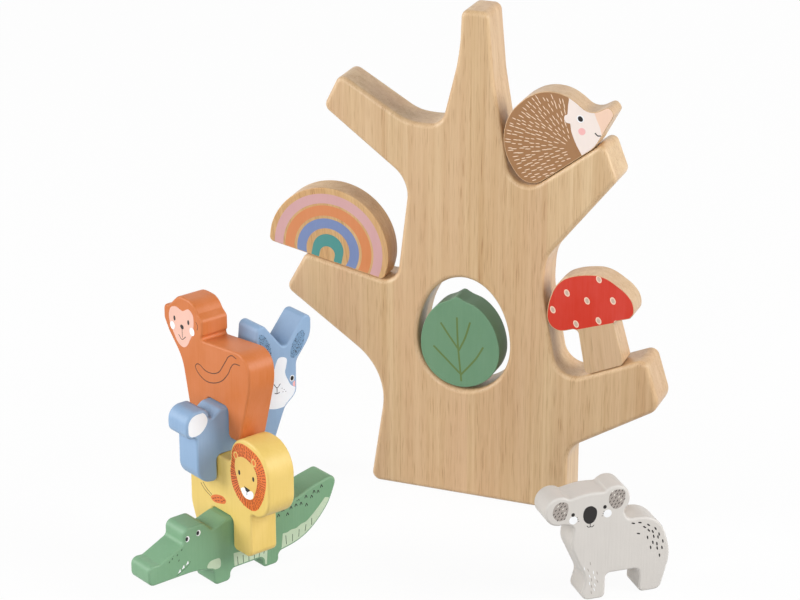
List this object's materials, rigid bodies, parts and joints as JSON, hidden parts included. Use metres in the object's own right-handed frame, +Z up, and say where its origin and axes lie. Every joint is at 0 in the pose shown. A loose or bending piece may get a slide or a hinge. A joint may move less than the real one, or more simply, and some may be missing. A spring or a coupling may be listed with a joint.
{
  "type": "stacking balance toy",
  "caption": "Wooden balance toy: a flat tree with stub branches and an egg-shaped hole that hold loose printed pieces, and flat animals whose leg arches straddle one another in a stack.",
  "frame": {"origin": "middle of the tree's foot on the floor, halfway through its thickness", "axes": "+Z up, +X to the right along the tree's face, the tree's printed pieces face -Y"},
  "size_m": [0.2867, 0.2232, 0.3],
  "materials": {
    "tree_wood": "sanded bare wood, clear satin oil, upright grain",
    "bare_wood": "sanded bare wood on the sawn edges of the printed pieces",
    "rainbow_print": "matt printed bands on bare wood",
    "hedgehog_print": "matt printed face on bare wood",
    "mushroom_print": "matt printed cap on bare wood",
    "leaf_paint": "satin painted wood",
    "crocodile_paint": "satin painted wood",
    "lion_paint": "satin painted wood",
    "rabbit_paint": "satin painted wood",
    "monkey_paint": "satin painted wood",
    "koala_paint": "satin painted wood",
    "dark_ink": "matt printed lines and eyes",
    "pale_ink": "matt printed pale patches",
    "warm_ink": "matt printed warm patches"
  },
  "bodies": {
    "tree": {"tree": "tree_wood"},
    "rainbow": {"rainbow": "rainbow_print"},
    "hedgehog": {"hedgehog": "hedgehog_print"},
    "mushroom": {"mushroom": "mushroom_print"},
    "leaf": {"leaf": "leaf_paint"},
    "crocodile": {"crocodile": "crocodile_paint"},
    "lion": {"lion": "lion_paint"},
    "rabbit": {"rabbit": "rabbit_paint"},
    "monkey": {"monkey": "monkey_paint"},
    "koala": {"koala": "koala_paint"}
  },
  "joints": [
    {"name": "rainbow_lift", "type": "slide", "parent": "tree", "child": "rainbow", "axis": [0, 0, 1], "range_m": [0, 0.03]},
    {"name": "hedgehog_lift", "type": "slide", "parent": "tree", "child": "hedgehog", "axis": [0, 0, 1], "range_m": [0, 0.03]},
    {"name": "mushroom_lift", "type": "slide", "parent": "tree", "child": "mushroom", "axis": [0.3, 0, 0.9539], "range_m": [0, 0.02]},
    {"name": "leaf_pull", "type": "slide", "parent": "tree", "child": "leaf", "axis": [0, -0.9975, 0.07], "range_m": [0, 0.032]},
    {"name": "crocodile_lift", "type": "slide", "parent": "tree", "child": "crocodile", "axis": [0, 0, 1], "range_m": [0, 0.04]},
    {"name": "lion_lift", "type": "slide", "parent": "crocodile", "child": "lion", "axis": [0, 0, 1], "range_m": [0, 0.026]},
    {"name": "rabbit_lift", "type": "slide", "parent": "lion", "child": "rabbit", "axis": [0, 0, 1], "range_m": [0, 0.022]},
    {"name": "monkey_lift", "type": "slide", "parent": "rabbit", "child": "monkey", "axis": [0, 0, 1], "range_m": [0, 0.025]},
    {"name": "koala_lift", "type": "slide", "parent": "tree", "child": "koala", "axis": [0, 0, 1], "range_m": [0, 0.04]}
  ]
}
